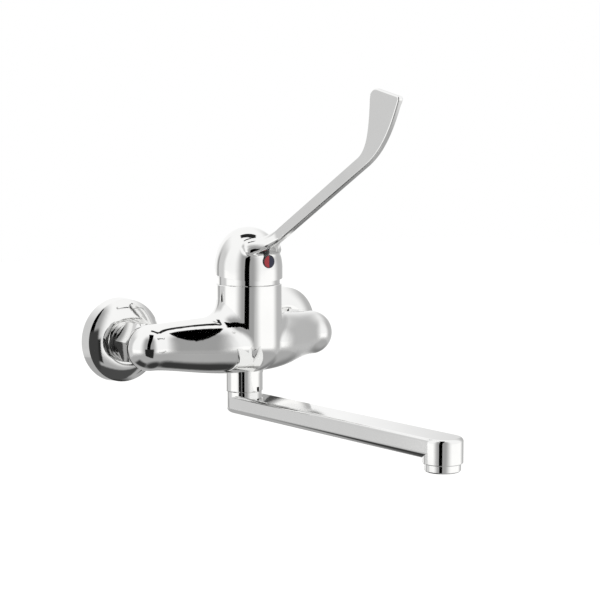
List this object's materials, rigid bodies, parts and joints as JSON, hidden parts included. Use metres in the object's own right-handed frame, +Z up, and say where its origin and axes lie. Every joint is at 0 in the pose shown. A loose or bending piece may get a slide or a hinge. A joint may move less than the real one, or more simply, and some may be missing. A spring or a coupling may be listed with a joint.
{
  "type": "wall mixer tap",
  "caption": "Wall-mounted single-lever mixer tap with a long elbow lever, a domed cap and a straight swivel spout.",
  "frame": {"origin": "on the wall plane, midway between the two inlet axes", "axes": "+X to the right seen from the front, +Y into the wall, +Z up; the spout and the lever point along -Y"},
  "size_m": [0.2134, 0.3107, 0.2471],
  "materials": {
    "polished_chrome": "polished",
    "bare_brass": "machined",
    "steel": "brushed",
    "ceramic": "lapped",
    "white_plastic": "moulded",
    "seal_rubber": "matte",
    "dark_plastic": "gloss",
    "red_plastic": "gloss",
    "blue_plastic": "gloss"
  },
  "bodies": {
    "fixed": {"body": "polished_chrome", "inlet_nipple_left": "bare_brass", "inlet_nipple_right": "bare_brass", "union_nut_left": "polished_chrome", "union_nut_right": "polished_chrome", "filter_washer_left": "seal_rubber", "filter_washer_right": "seal_rubber", "connector_left": "polished_chrome", "connector_right": "polished_chrome", "cover_plate_left": "polished_chrome", "cover_plate_right": "polished_chrome", "cartridge_base": "white_plastic", "base_seals": "seal_rubber", "fixed_disc": "ceramic", "cartridge_housing": "white_plastic", "cartridge_nut": "bare_brass", "trim_sleeve": "polished_chrome", "spout_nut": "polished_chrome", "slide_washer": "white_plastic"},
    "turret": {"rotor": "white_plastic", "spindle_pin": "steel"},
    "lever": {"lever": "polished_chrome", "spindle": "steel", "lever_screw": "steel", "dot_holder": "dark_plastic", "dot_red": "red_plastic", "dot_blue": "blue_plastic"},
    "slider": {"moving_disc": "ceramic", "disc_carrier": "white_plastic"},
    "spout": {"spout": "polished_chrome", "spout_seals": "seal_rubber", "split_ring": "steel", "aerator_housing": "polished_chrome", "aerator_insert": "white_plastic", "aerator_seal": "seal_rubber"}
  },
  "joints": [
    {"name": "temperature_turn", "type": "hinge", "parent": "fixed", "child": "turret", "pos_m": [0, -0.0632, 0.047], "axis": [0, 0, 1], "range_deg": [-50, 50]},
    {"name": "flow_lift", "type": "hinge", "parent": "turret", "child": "lever", "pos_m": [0, -0.0632, 0.047], "axis": [-1, 0, 0], "range_deg": [0, 20]},
    {"name": "disc_slide", "type": "slide", "parent": "turret", "child": "slider", "axis": [0, -1, 0], "range_m": [0, 0.0059]},
    {"name": "spout_swivel", "type": "hinge", "parent": "fixed", "child": "spout", "pos_m": [0, -0.0571, -0.03], "axis": [0, 0, 1], "range_deg": [-100, 100]}
  ],
  "couplings": [
    {"joint": "disc_slide", "follows": "flow_lift", "m_per_rad": 0.01683}
  ]
}
